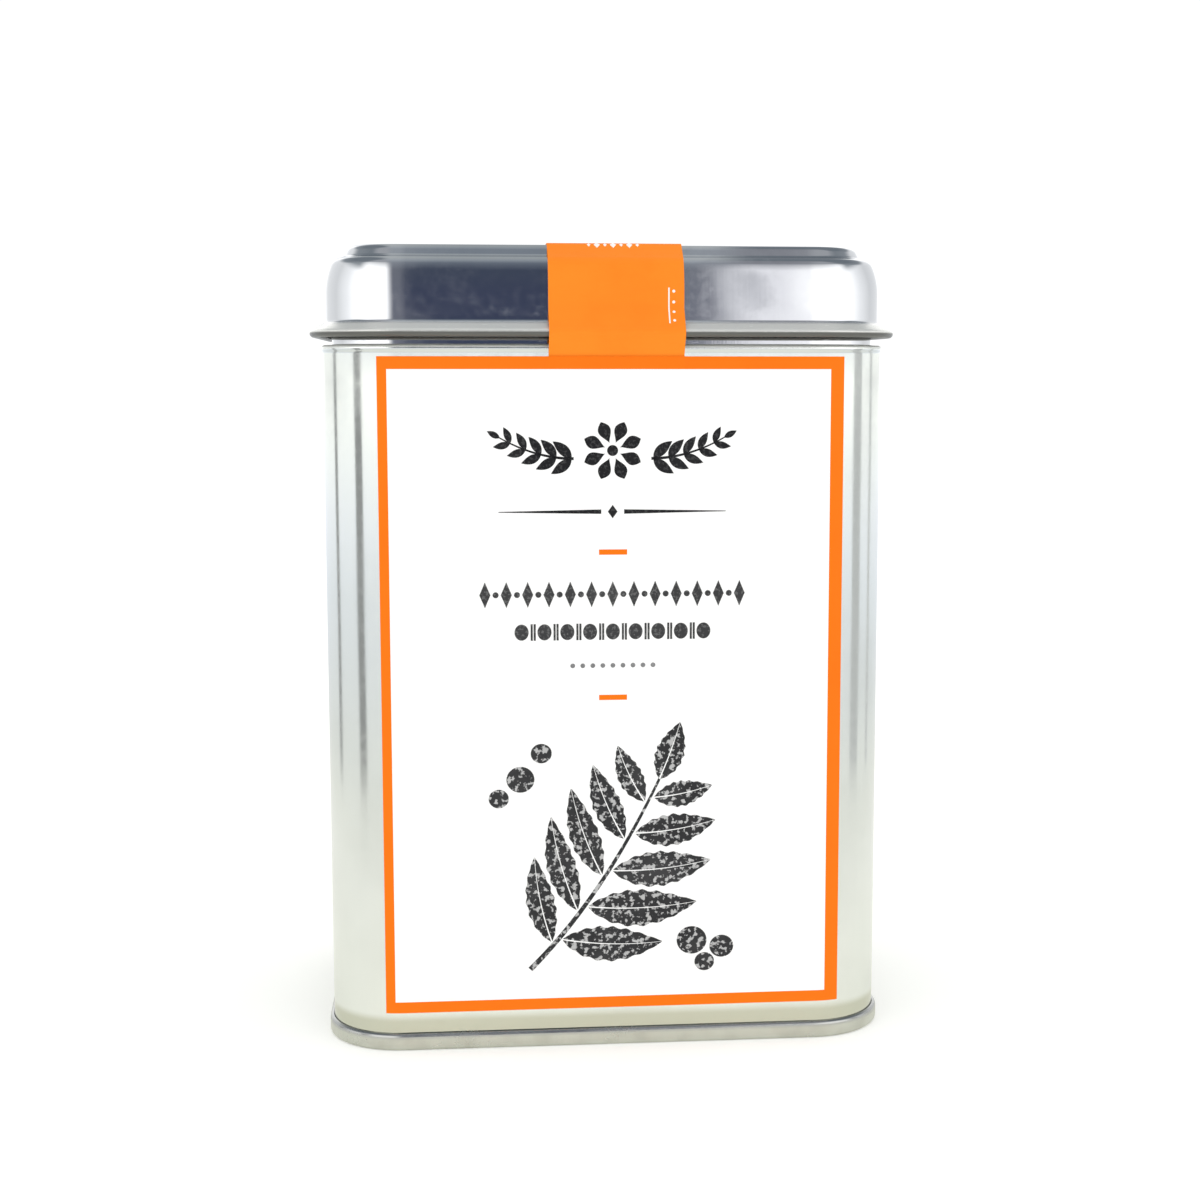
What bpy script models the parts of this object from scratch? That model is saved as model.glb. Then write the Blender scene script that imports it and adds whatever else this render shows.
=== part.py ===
"""A small rectangular tinplate spice tin with a slip-on lid.

The tin is sealed with a paper strip over the lid and carries a paper label on its front.
Units are metres, +Z is up, the front faces -Y, and the origin is under the middle of the foot.
Every tin piece is a rounded rectangle in plan.  Its section is drawn as points (proud, height):
proud is the distance outside the body's wall, negative towards the middle.
"""

import math

import bmesh
import bpy
from mathutils import Vector

# Plan of the body's wall
WIDTH = 0.0650
DEPTH = 0.0450
CORNER_RADIUS = 0.0085
CORNER_STEPS = 8
SHEET = 0.0003

# Body: straight wall, flared shoulder, ledge, neck under the lid, and a hem rolled inwards
BODY_FOOT = 0.0011
FLARE_START = 0.0801
FLARE_TOP = 0.08065
FLARE_PROUD = 0.00012
SHOULDER_RADIUS = 0.0004
NECK_INSET = 0.0011
NECK_FILLET = 0.0001
HEM_CENTRE_HEIGHT = 0.08805
HEM_RADIUS = 0.00085
HEM_END_DEG = 245.0

# Lap seam that closes the body's sheet, down the middle of the back
LAP_WIDTH = 0.0034
LAP_PROUD = 0.00025
LAP_SLOPE = 0.0003

# Foot seam ring and recessed panel that close the bottom
SEAM_PROUD = 0.0005
SEAM_HEIGHT = 0.0026
SEAM_EDGE_RADIUS = 0.00035
SEAM_INNER_INSET = 0.0012
SLOT_CLEARANCE = 0.00015
SLOT_FLOOR = 0.0008
PANEL_HEIGHT = 0.0019
PANEL_STEP = 0.0005
PANEL_STEP_INSET = 0.0050

# Lid: raised plateau, groove, sloping shoulder, wall that leans in above, and a flared, beaded rim
TOTAL_HEIGHT = 0.0923
LID_WALL_INSET = 0.00038
PLATEAU_INSET = 0.0028
PLATEAU_EDGE_RADIUS = 0.0011
PLATEAU_SIDE_DEG = 27.0
GROOVE_RADIUS = 0.0004
LEAN_START = 0.0868
LEAN_RADIUS = 0.0088
LEAN_DEG = 22.0
LID_SHOULDER_RADIUS = 0.0013
LID_SLOPE_DEG = 16.0
RIM_FLARE_RADIUS = 0.0006
RIM_FLARE_DEG = 62.0
BEAD_RADIUS = 0.0005
BEAD_PROUD = 0.00092
BEAD_HEIGHT = 0.0824
BEAD_END_DEG = -150.0

# Paper label on the front, wrapped a little way round both front corners
PAPER = 0.00015
LABEL_WIDTH = 0.0528
LABEL_BOTTOM = 0.0044
LABEL_TOP = 0.07975
LABEL_SHIFT = 0.00035
LABEL_PROUD = 0.00025
LABEL_WRAP_STEPS = 3

# Paper seal strip over the lid
SEAL_WIDTH = 0.0153
SEAL_SHIFT = 0.00075
SEAL_CLEARANCE = 0.00012
SEAL_TAIL_PROUD = 0.00005
SEAL_TAIL_END = 0.0774
SEAL_TOP_LENGTH = 0.0210
SEAL_LEAVES_WALL = 0.0851
SEAL_MEETS_BODY = 0.0800


def clear_scene():
    """Remove every object that the scene starts with."""
    for item in list(bpy.data.objects):
        bpy.data.objects.remove(item, do_unlink=True)


def make_material(name, colour, roughness, metallic):
    """Return a Principled material of one colour."""
    material = bpy.data.materials.new(name)
    material.use_nodes = True
    shader = material.node_tree.nodes["Principled BSDF"]
    shader.inputs["Base Color"].default_value = (*colour, 1.0)
    shader.inputs["Roughness"].default_value = roughness
    shader.inputs["Metallic"].default_value = metallic
    material.diffuse_color = (*colour, 1.0)
    return material


def arc(centre, radius, start_deg, end_deg, steps):
    """Return points along an arc in the (proud, height) plane."""
    points = []
    for step in range(steps + 1):
        angle = math.radians(start_deg + (end_deg - start_deg) * step / steps)
        across = centre[0] + radius * math.cos(angle)
        up = centre[1] + radius * math.sin(angle)
        points.append((across, up))
    return points


def offset_line(points, distance):
    """Shift an open line sideways, to its right where distance is positive.

    Each point moves along the mitre of its two neighbouring stretches, so the sheet
    between the line and its copy keeps one thickness.
    """
    shifted = []
    last = len(points) - 1
    for index, point in enumerate(points):
        here = Vector(point)
        before = (here - Vector(points[index - 1])).normalized() if index > 0 else None
        after = (Vector(points[index + 1]) - here).normalized() if index < last else None
        before = before or after
        after = after or before
        mitre = (before + after).normalized()
        right = Vector((mitre.y, -mitre.x))
        stretch = 1.0 / max(mitre.dot(before), 0.5)
        shifted.append(tuple(here + right * distance * stretch))
    return shifted


def rounded_plan(proud, lap=0.0):
    """Return one ring of (x, y) points, counter-clockwise from above.

    lap is how far the back seam stands out of the ring; the ring always has the seam's
    four points, so that all rings of a piece match.
    """
    half_x = WIDTH / 2 + proud
    half_y = DEPTH / 2 + proud
    radius = CORNER_RADIUS + proud
    ring = []
    for quarter, (side_x, side_y) in enumerate(((1, -1), (1, 1), (-1, 1), (-1, -1))):
        centre_x = side_x * (half_x - radius)
        centre_y = side_y * (half_y - radius)
        for step in range(CORNER_STEPS + 1):
            angle = math.radians(-90 + 90 * quarter + 90 * step / CORNER_STEPS)
            ring.append((centre_x + radius * math.cos(angle), centre_y + radius * math.sin(angle)))
        if quarter == 1:
            edge = LAP_WIDTH / 2
            ring.append((edge + LAP_SLOPE, half_y))
            ring.append((edge, half_y + lap))
            ring.append((-edge, half_y + lap))
            ring.append((-edge - LAP_SLOPE, half_y))
    return ring


def skin_rings(bm, rings, closed):
    """Join rings of vertices, each to the next, with four-sided faces."""
    count = len(rings)
    for index in range(count if closed else count - 1):
        low = rings[index]
        high = rings[(index + 1) % count]
        for corner in range(len(low)):
            following = (corner + 1) % len(low)
            bm.faces.new((low[corner], low[following], high[following], high[corner]))


def finish_mesh(name, bm, material, location, parent):
    """Turn a bmesh into a smooth-shaded object with its material, place and parent."""
    mesh = bpy.data.meshes.new(name)
    bm.to_mesh(mesh)
    bm.free()
    mesh.shade_smooth()
    mesh.set_sharp_from_angle(angle=math.radians(35))
    mesh.materials.append(material)
    piece = bpy.data.objects.new(name, mesh)
    bpy.context.collection.objects.link(piece)
    piece.parent = parent
    piece.location = location
    return piece


def pressed_piece(name, section, closed, base_height, material, parent, lap_range=None):
    """Carry a section round the plan and return the piece.

    The section runs with the open air on its right.  An open section starts and ends at
    flat panels, which are filled; a closed one makes a tube.  Heights are stored from
    base_height, which becomes the object's own location.
    """
    bm = bmesh.new()
    rings = []
    for proud, height in section:
        on_wall = lap_range is not None and lap_range[0] <= height <= lap_range[1]
        lap = LAP_PROUD if on_wall else 0.0
        ring = rounded_plan(proud, lap)
        rings.append([bm.verts.new((x, y, height - base_height)) for x, y in ring])
    skin_rings(bm, rings, closed)
    if not closed:
        bm.faces.new(list(reversed(rings[0])))
        bm.faces.new(rings[-1])
    return finish_mesh(name, bm, material, (0.0, 0.0, base_height), parent)


def body_section():
    """Return the body's section: wall, flare, ledge, neck, inward hem, then back down inside."""
    wall_heights = (BODY_FOOT, SEAM_HEIGHT, SEAM_HEIGHT + SHEET, FLARE_START)
    outside = [(0.0, height) for height in wall_heights]
    outside += arc((FLARE_PROUD - SHOULDER_RADIUS, FLARE_TOP), SHOULDER_RADIUS, 0, 90, 3)
    ledge_height = FLARE_TOP + SHOULDER_RADIUS
    outside += arc((NECK_FILLET - NECK_INSET, ledge_height + NECK_FILLET), NECK_FILLET, 270, 180, 2)
    hem_centre = (-NECK_INSET - HEM_RADIUS, HEM_CENTRE_HEIGHT)
    outside += arc(hem_centre, HEM_RADIUS, 0.0, HEM_END_DEG, 9)
    inside = offset_line(outside, -SHEET)
    return outside + list(reversed(inside))


def build_body(material, parent):
    """Make the body: a thin tube that is open at both ends."""
    lap_range = (SEAM_HEIGHT + SHEET / 2, FLARE_START + SHEET / 2)
    return pressed_piece("tin_body", body_section(), True, BODY_FOOT, material, parent, lap_range)


def base_section():
    """Return the foot's section, from under the panel, round the seam ring, to its top."""
    inner = -SEAM_INNER_INSET
    step_low = -PANEL_STEP_INSET - PANEL_STEP
    panel_top = PANEL_HEIGHT + SHEET
    radius = SEAM_EDGE_RADIUS
    under = [(step_low, PANEL_HEIGHT - PANEL_STEP), (-PANEL_STEP_INSET, PANEL_HEIGHT)]
    under += arc((inner - radius, PANEL_HEIGHT - radius), radius, 90, 0, 3)
    ring = arc((inner + radius, radius), radius, 180, 270, 3)
    ring += arc((SEAM_PROUD - radius, radius), radius, 270, 360, 3)
    ring += arc((SEAM_PROUD - radius, SEAM_HEIGHT - radius), radius, 0, 90, 3)
    slot_outer = SLOT_CLEARANCE
    slot_inner = -SHEET - SLOT_CLEARANCE
    hook = slot_inner - SHEET
    slot = [(slot_outer, SLOT_FLOOR), (slot_inner, SLOT_FLOOR), (slot_inner, SEAM_HEIGHT)]
    slot += [(hook, SEAM_HEIGHT), (hook, panel_top)]
    panel = [(-PANEL_STEP_INSET, panel_top), (step_low, panel_top - PANEL_STEP)]
    return under + ring + slot + panel


def build_base(material, parent):
    """Make the foot: a seam ring with a slot for the body's edge, and a recessed panel."""
    return pressed_piece("tin_base", base_section(), False, 0.0, material, parent)


def lid_arc_centres():
    """Return the centres of the lid's plateau edge, shoulder and leaning wall."""
    plateau = (-PLATEAU_INSET - PLATEAU_EDGE_RADIUS, TOTAL_HEIGHT - PLATEAU_EDGE_RADIUS)
    lean = (-LID_WALL_INSET - LEAN_RADIUS, LEAN_START)
    turn = math.radians(LEAN_DEG)
    inwards = LEAN_RADIUS - LID_SHOULDER_RADIUS
    shoulder = (lean[0] + inwards * math.cos(turn), lean[1] + inwards * math.sin(turn))
    return plateau, shoulder, lean


def groove_line(start, shoulder):
    """Return the hollow arc between the plateau's slanted side and the slope.

    start is where the plateau's rounded edge ends and shoulder is where the shoulder
    begins.  The side goes down as far as the arc needs in order to end on the slope.
    """
    side = math.radians(PLATEAU_SIDE_DEG)
    slope = math.radians(90 - LID_SLOPE_DEG)
    fall = math.tan(math.radians(LID_SLOPE_DEG))
    across = GROOVE_RADIUS * (math.cos(side) - math.cos(slope))
    down = GROOVE_RADIUS * (math.sin(slope) - math.sin(side))
    level = shoulder[1] + (shoulder[0] - start[0] - across) * fall
    length = (start[1] - down - level) / (math.cos(side) - math.sin(side) * fall)
    centre_across = start[0] + length * math.sin(side) + GROOVE_RADIUS * math.cos(side)
    centre_up = start[1] - length * math.cos(side) + GROOVE_RADIUS * math.sin(side)
    return arc((centre_across, centre_up), GROOVE_RADIUS, PLATEAU_SIDE_DEG - 180, -90 - LID_SLOPE_DEG, 3)


def rim_line():
    """Return the rim's line: the wall flares out, slopes down and ends in a bead rolled inwards.

    The flare starts at the height from which its straight slope runs into the bead.
    """
    turn = math.radians(RIM_FLARE_DEG)
    bead_across = BEAD_PROUD + BEAD_RADIUS * math.cos(turn)
    flare_across = -LID_WALL_INSET + RIM_FLARE_RADIUS * (1 - math.cos(turn))
    rise = (bead_across - flare_across) / math.tan(turn)
    flare_start = BEAD_HEIGHT + rise + (BEAD_RADIUS + RIM_FLARE_RADIUS) * math.sin(turn)
    flare_centre = (RIM_FLARE_RADIUS - LID_WALL_INSET, flare_start)
    flare = arc(flare_centre, RIM_FLARE_RADIUS, 180, 180 + RIM_FLARE_DEG, 3)
    bead = arc((BEAD_PROUD, BEAD_HEIGHT), BEAD_RADIUS, RIM_FLARE_DEG, BEAD_END_DEG, 9)
    return flare + bead


def lid_outside():
    """Return the lid's outer line, from the plateau outwards, down the wall, round the rim."""
    plateau_centre, shoulder_centre, lean_centre = lid_arc_centres()
    plateau = arc(plateau_centre, PLATEAU_EDGE_RADIUS, 90, PLATEAU_SIDE_DEG, 4)
    shoulder = arc(shoulder_centre, LID_SHOULDER_RADIUS, 90 - LID_SLOPE_DEG, LEAN_DEG, 4)
    groove = groove_line(plateau[-1], shoulder[0])
    lean = arc(lean_centre, LEAN_RADIUS, LEAN_DEG, 0, 3)[1:]
    return plateau + groove + shoulder + lean + rim_line()


def build_lid(material, parent):
    """Make the slip-on lid from one pressed sheet."""
    outside = lid_outside()
    inside = offset_line(outside, SHEET)
    section = inside + list(reversed(outside))
    return pressed_piece("lid", section, False, BEAD_HEIGHT - BEAD_RADIUS, material, parent)


def bent_paper(name, outer, inner, place, material, location, parent):
    """Make a bent sheet of paper between two lines and two ends.

    outer and inner are matching lines in a plane, with outer running to the right along
    the open air.  place(point, end) gives a corner's position at end 0 or end 1.
    """
    outline = outer + list(reversed(inner))
    bm = bmesh.new()
    ends = []
    for end in (0, 1):
        ends.append([bm.verts.new(place(point, end)) for point in outline])
    skin_rings(bm, ends, False)
    last = len(outline) - 1
    for index in range(len(outer) - 1):
        corners = (index, index + 1, last - index - 1, last - index)
        bm.faces.new([ends[0][corner] for corner in reversed(corners)])
        bm.faces.new([ends[1][corner] for corner in corners])
    return finish_mesh(name, bm, material, location, parent)


def label_line(proud):
    """Return the label's (x, y) line from left to right, at one distance from the wall."""
    flat_half = WIDTH / 2 - CORNER_RADIUS
    radius = CORNER_RADIUS + proud
    centre_y = -DEPTH / 2 + CORNER_RADIUS
    left_turn = (LABEL_WIDTH / 2 - LABEL_SHIFT - flat_half) / CORNER_RADIUS
    right_turn = (LABEL_WIDTH / 2 + LABEL_SHIFT - flat_half) / CORNER_RADIUS
    line = []
    for side, turn in ((-1, left_turn), (1, right_turn)):
        start, end = (turn, 0.0) if side < 0 else (0.0, turn)
        for step in range(LABEL_WRAP_STEPS + 1):
            angle = start + (end - start) * step / LABEL_WRAP_STEPS
            across = side * (flat_half + radius * math.sin(angle))
            line.append((across, centre_y - radius * math.cos(angle)))
    return line


def build_label(material, parent):
    """Make the front label: paper that follows the wall and starts round both corners."""
    height = LABEL_TOP - LABEL_BOTTOM
    location = (LABEL_SHIFT, -DEPTH / 2, LABEL_BOTTOM)

    def place(point, end):
        """Stand the label's line up, at its bottom edge or its top edge."""
        return (point[0] - location[0], point[1] - location[1], end * height)

    outer = label_line(LABEL_PROUD + PAPER)
    inner = label_line(LABEL_PROUD)
    return bent_paper("label", outer, inner, place, material, location, parent)


def seal_line():
    """Return the seal's under side as (proud, height), from the top of the lid to its tail.

    It lies on the plateau, spans the groove, follows the lid's shoulder and wall, leans out
    over the rim's bead, and comes back to the body, where its tail lies under the label.
    """
    gap = SEAL_CLEARANCE
    plateau_centre, shoulder_centre, lean_centre = lid_arc_centres()
    line = [(plateau_centre[0] - SEAL_TOP_LENGTH, TOTAL_HEIGHT + gap)]
    line += arc(plateau_centre, PLATEAU_EDGE_RADIUS + gap, 90, 45, 3)
    line += arc(shoulder_centre, LID_SHOULDER_RADIUS + gap, 62, LEAN_DEG, 3)
    line += arc(lean_centre, LEAN_RADIUS + gap, LEAN_DEG, 0, 3)[1:]
    line.append((-LID_WALL_INSET + gap, SEAL_LEAVES_WALL))
    line += arc((BEAD_PROUD, BEAD_HEIGHT), BEAD_RADIUS + gap, 36, -36, 5)
    line.append((SEAL_TAIL_PROUD, SEAL_MEETS_BODY))
    line.append((SEAL_TAIL_PROUD, SEAL_TAIL_END))
    return line


def build_seal(material, parent):
    """Make the seal strip by carrying its folded line across its width."""
    location = (SEAL_SHIFT, -DEPTH / 2, SEAL_TAIL_END)

    def place(point, end):
        """Set a point of the folded line at the strip's left edge or its right edge."""
        proud, height = point
        return ((end - 0.5) * SEAL_WIDTH, -proud, height - location[2])

    under = seal_line()
    over = offset_line(under, -PAPER)
    return bent_paper("seal_strip", over, under, place, material, location, parent)


def main():
    """Build the whole tin under one empty at its foot."""
    clear_scene()
    tin = bpy.data.objects.new("tin", None)
    bpy.context.collection.objects.link(tin)
    tinplate = make_material("tinplate", (0.78, 0.80, 0.79), 0.16, 1.0)
    lid_tinplate = make_material("lid_tinplate", (0.74, 0.76, 0.78), 0.12, 1.0)
    foot_tinplate = make_material("foot_tinplate", (0.70, 0.71, 0.66), 0.22, 1.0)
    white_paper = make_material("white_paper", (0.93, 0.93, 0.92), 0.55, 0.0)
    orange_paper = make_material("orange_paper", (0.95, 0.23, 0.02), 0.50, 0.0)
    build_base(foot_tinplate, tin)
    build_body(tinplate, tin)
    build_lid(lid_tinplate, tin)
    build_label(white_paper, tin)
    build_seal(orange_paper, tin)


main()
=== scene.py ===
"""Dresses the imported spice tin: tinplate body, foot and lid, paper label, seal strip and print.

Lengths are in metres, +Z is up and the label faces -Y.  Print on the label is laid out in
millimetres from the tin's middle and from the plane that the tin stands on.
"""

import logging
import math
from dataclasses import dataclass, field
from enum import Enum
from functools import reduce
from typing import Callable

import bmesh
import bpy
import numpy as np
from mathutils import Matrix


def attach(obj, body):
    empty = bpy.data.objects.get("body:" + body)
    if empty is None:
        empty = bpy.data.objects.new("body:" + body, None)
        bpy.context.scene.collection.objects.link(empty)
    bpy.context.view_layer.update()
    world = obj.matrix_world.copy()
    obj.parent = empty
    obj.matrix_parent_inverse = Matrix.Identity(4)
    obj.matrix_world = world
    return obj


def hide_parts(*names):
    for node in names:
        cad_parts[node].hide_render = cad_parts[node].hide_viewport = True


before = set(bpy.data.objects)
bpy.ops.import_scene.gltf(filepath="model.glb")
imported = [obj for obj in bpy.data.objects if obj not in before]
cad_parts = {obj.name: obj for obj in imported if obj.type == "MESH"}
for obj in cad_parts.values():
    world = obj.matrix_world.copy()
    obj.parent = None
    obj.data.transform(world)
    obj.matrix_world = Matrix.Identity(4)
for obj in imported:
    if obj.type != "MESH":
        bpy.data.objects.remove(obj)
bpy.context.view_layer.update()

LOG = logging.getLogger("spice_tin")
MM = 0.001
UV_PER_METRE = 10.0
Triple = tuple[float, float, float]
Pair = tuple[float, float]
Socket = bpy.types.NodeSocket


class Slot(Enum):
    """Material slots of the record, carried by the pressed pieces and the print."""

    FOOT = "foot_tinplate"
    BODY = "body_tinplate"
    LID = "lid_tinplate"
    LABEL = "label_paper"
    SEAL = "seal_paper"


# Meshes from arrays


def smoothstep(value: np.ndarray, low: float, high: float) -> np.ndarray:
    """Rise from 0 at low to 1 at high along 3t^2 - 2t^3."""
    t = np.clip((value - low) / (high - low), 0.0, 1.0)
    return t * t * (3.0 - 2.0 * t)


def arc(centre: Pair, radius: float, start: float, end: float, steps: int) -> np.ndarray:
    """Points on a circle: centre + radius * (cos a, sin a), with a running evenly in degrees."""
    angle = np.radians(np.linspace(start, end, steps + 1))
    return np.stack((centre[0] + radius * np.cos(angle), centre[1] + radius * np.sin(angle)), -1)


def runs(*parts: tuple[float, float, int]) -> np.ndarray:
    """Join even runs of (start, end, count) places, each but the last without its end."""
    ends = [np.linspace(*part)[:-1] for part in parts[:-1]]
    return np.concatenate((*ends, np.linspace(*parts[-1])))


def offset_line(line: np.ndarray, distance: float) -> np.ndarray:
    """Shift a line to its right, each point along the mitre of its neighbours.

    Args:
        line: Points of an open line.
        distance: How far to the right; negative is to the left.

    Returns:
        The shifted points, as many as came in.
    """
    step = np.diff(line, axis=0)
    step /= np.linalg.norm(step, axis=1, keepdims=True)
    before = np.concatenate((step[:1], step))
    mitre = before + np.concatenate((step, step[-1:]))
    mitre /= np.linalg.norm(mitre, axis=1, keepdims=True)
    stretch = 1.0 / np.maximum((mitre * before).sum(1), 0.5)
    right = np.stack((mitre[:, 1], -mitre[:, 0]), -1)
    return line + right * (distance * stretch)[:, None]


def grid_quads(rows: int, columns: int, wrap_rows: bool = False,
               wrap_columns: bool = False) -> np.ndarray:
    """Number the four corners of every cell of a grid of vertices, counter-clockwise.

    Args:
        rows: Rows of vertices.
        columns: Vertices in each row.
        wrap_rows: Whether the last row joins the first.
        wrap_columns: Whether each row closes on itself.

    Returns:
        Four vertex numbers for each cell.
    """
    row = np.arange(rows if wrap_rows else rows - 1)[:, None]
    left = np.arange(columns if wrap_columns else columns - 1)[None, :]
    low = row * columns
    high = (row + 1) % rows * columns
    right = (left + 1) % columns
    return np.stack((low + left, low + right, high + right, high + left), -1).reshape(-1, 4)


def sheet_quads(rows: int, columns: int) -> np.ndarray:
    """Number the faces of a closed sheet: a front grid, its back copy and the four edges.

    Args:
        rows: Rows of vertices in the front grid.
        columns: Vertices in each row.

    Returns:
        Faces over the front's vertices followed by the back's.
    """
    front = grid_quads(rows, columns)
    total = rows * columns
    index = np.arange(total).reshape(rows, columns)
    low, high, left, right = index[0], index[-1], index[:, 0], index[:, -1]
    edges = (
        np.stack((low[:-1] + total, low[1:] + total, low[1:], low[:-1]), -1),
        np.stack((high[:-1], high[1:], high[1:] + total, high[:-1] + total), -1),
        np.stack((left[:-1], left[1:], left[1:] + total, left[:-1] + total), -1),
        np.stack((right[:-1], right[:-1] + total, right[1:] + total, right[1:]), -1),
    )
    return np.concatenate((front, front[:, ::-1] + total, *edges))


def make_piece(name: str, points: np.ndarray, quads: np.ndarray, uv: np.ndarray | None = None,
               sharp_deg: float = 40.0) -> bpy.types.Object:
    """Turn arrays of points and four-sided faces into a smooth-shaded object at the origin.

    Args:
        name: The piece's name.
        points: Vertex positions.
        quads: Four vertex numbers for each face.
        uv: One pair for each face corner, in the order of quads.
        sharp_deg: Edges that turn more than this stay sharp.

    Returns:
        The new object.
    """
    mesh = bpy.data.meshes.new(name)
    mesh.vertices.add(len(points))
    mesh.vertices.foreach_set("co", np.ascontiguousarray(points, np.float32).ravel())
    mesh.loops.add(quads.size)
    mesh.loops.foreach_set("vertex_index", np.ascontiguousarray(quads, np.int32).ravel())
    mesh.polygons.add(len(quads))
    mesh.polygons.foreach_set("loop_start", np.arange(0, quads.size, 4, dtype=np.int32))
    if uv is not None:
        layer = mesh.uv_layers.new(name="UVMap")
        layer.uv.foreach_set("vector", np.ascontiguousarray(uv, np.float32).ravel())
    mesh.update(calc_edges=True)
    mesh.validate()
    mesh.shade_smooth()
    mesh.set_sharp_from_angle(angle=math.radians(sharp_deg))
    piece = bpy.data.objects.new(name, mesh)
    bpy.context.scene.collection.objects.link(piece)
    return piece


def make_sheet(name: str, front: np.ndarray, back: np.ndarray) -> bpy.types.Object:
    """Make a closed sheet from a grid of front points and one of back points."""
    points = np.concatenate((front.reshape(-1, 3), back.reshape(-1, 3)))
    return make_piece(name, points, sheet_quads(*front.shape[:2]))


def weld(piece: bpy.types.Object, distance: float = 1e-7) -> None:
    """Merge a piece's coincident vertices, which closes the poles of a panel.

    Args:
        piece: The piece whose mesh is welded.
        distance: Vertices nearer than this become one.
    """
    bm = bmesh.new()
    bm.from_mesh(piece.data)
    bmesh.ops.remove_doubles(bm, verts=bm.verts, dist=distance)
    bm.to_mesh(piece.data)
    bm.free()


def settle(piece: bpy.types.Object, node: str | None = None) -> bpy.types.Object:
    """Let a piece ride on the tin, and hide the CAD node that it stands for.

    Args:
        piece: The finished piece.
        node: The CAD node that it replaces, if any.

    Returns:
        The same piece.
    """
    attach(piece, "root")
    if node:
        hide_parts(node)
    LOG.info("%s: %d faces", piece.name, len(piece.data.polygons))
    return piece


# Node trees


class NodeTree:
    """Short hand for the nodes of one material or of the world."""

    def __init__(self, owner: bpy.types.Material | bpy.types.World) -> None:
        """Start from the empty tree of a material or a world."""
        owner.use_nodes = True
        self.owner = owner
        self.tree = owner.node_tree
        self.tree.nodes.clear()

    @classmethod
    def paint(cls, name: str) -> "NodeTree":
        """Start a new material."""
        return cls(bpy.data.materials.new(name))

    def add(self, kind: str, inputs: dict | None = None, **settings: object) -> bpy.types.Node:
        """Add a node, set its properties, and fill or link its inputs.

        Args:
            kind: The node's type, without the word ShaderNode.
            inputs: Input name or number, and a value or a socket to link from.
            settings: Properties of the node.

        Returns:
            The new node.
        """
        node = self.tree.nodes.new("ShaderNode" + kind)
        for key, value in settings.items():
            setattr(node, key, value)
        for key, value in (inputs or {}).items():
            if isinstance(value, Socket):
                self.tree.links.new(value, node.inputs[key])
            else:
                node.inputs[key].default_value = value
        return node

    def math(self, operation: str, *values: Socket | float) -> Socket:
        """Add a Math node on these values and return its result."""
        return self.add("Math", dict(enumerate(values)), operation=operation).outputs[0]

    def times(self, first: Socket, second: Socket | float) -> Socket:
        """Multiply two values."""
        return self.math("MULTIPLY", first, second)

    def plus(self, *values: Socket | float) -> Socket:
        """Add two or more values, from the first on."""
        return reduce(lambda total, value: self.math("ADD", total, value), values)

    def step(self, value: Socket, low: float, high: float, to_low: float = 0.0,
             to_high: float = 1.0) -> Socket:
        """Map the range from low to high smoothly onto the one from to_low to to_high."""
        inputs = {"Value": value, "From Min": low, "From Max": high, "To Min": to_low, "To Max": to_high}
        return self.add("MapRange", inputs, interpolation_type="SMOOTHSTEP").outputs["Result"]

    def noise(self, vector: Socket, scale: float, detail: float = 3.0, roughness: float = 0.5) -> Socket:
        """Add a noise texture and return its value."""
        inputs = {"Vector": vector, "Scale": scale, "Detail": detail, "Roughness": roughness}
        return self.add("TexNoise", inputs).outputs["Fac"]

    def mapping(self, vector: Socket, scale: Triple, turn: Triple = (0.0, 0.0, 0.0)) -> Socket:
        """Scale and turn a vector."""
        return self.add("Mapping", {"Vector": vector, "Scale": scale, "Rotation": turn}).outputs[0]

    def mix(self, factor: Socket | float, first: Socket | Triple, second: Socket | Triple,
            blend: str = "MIX") -> Socket:
        """Mix two colours.

        Args:
            factor: How much of the second.
            first: A colour or a socket.
            second: Another.
            blend: The node's blend type.

        Returns:
            The mixed colour.
        """
        colours = [value if isinstance(value, Socket) else (*value, 1.0) for value in (first, second)]
        inputs = {0: factor, 6: colours[0], 7: colours[1]}
        return self.add("Mix", inputs, data_type="RGBA", blend_type=blend).outputs[2]

    def ramp(self, value: Socket, stops: tuple[tuple[float, Triple], ...]) -> Socket:
        """Add a colour ramp.

        Args:
            value: What is read.
            stops: Positions from 0 to 1 and their colours.

        Returns:
            The ramp's colour.
        """
        node = self.add("ValToRGB", {"Fac": value})
        elements = node.color_ramp.elements
        while len(elements) > 1:
            elements.remove(elements[0])
        elements[0].position = stops[0][0]
        elements[0].color = (*stops[0][1], 1.0)
        for position, colour in stops[1:]:
            elements.new(position).color = (*colour, 1.0)
        return node.outputs["Color"]

    def surface(self, kind: str, inputs: dict) -> bpy.types.Material:
        """Add a shader with these inputs, end the material with it and return the material."""
        self.add("OutputMaterial", {"Surface": self.add(kind, inputs).outputs[0]})
        return self.owner


# Finishes


@dataclass(frozen=True)
class HeightBand:
    """A change of tinplate over a range of heights: a stained foot, a dull rim, and painted shade and
    painted highlights laid on by height.
    """

    full: float
    gone: float
    colour: Triple
    amount: float
    rougher: float = 0.0
    matt: float = 0.0
    blots: bool = False


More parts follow.
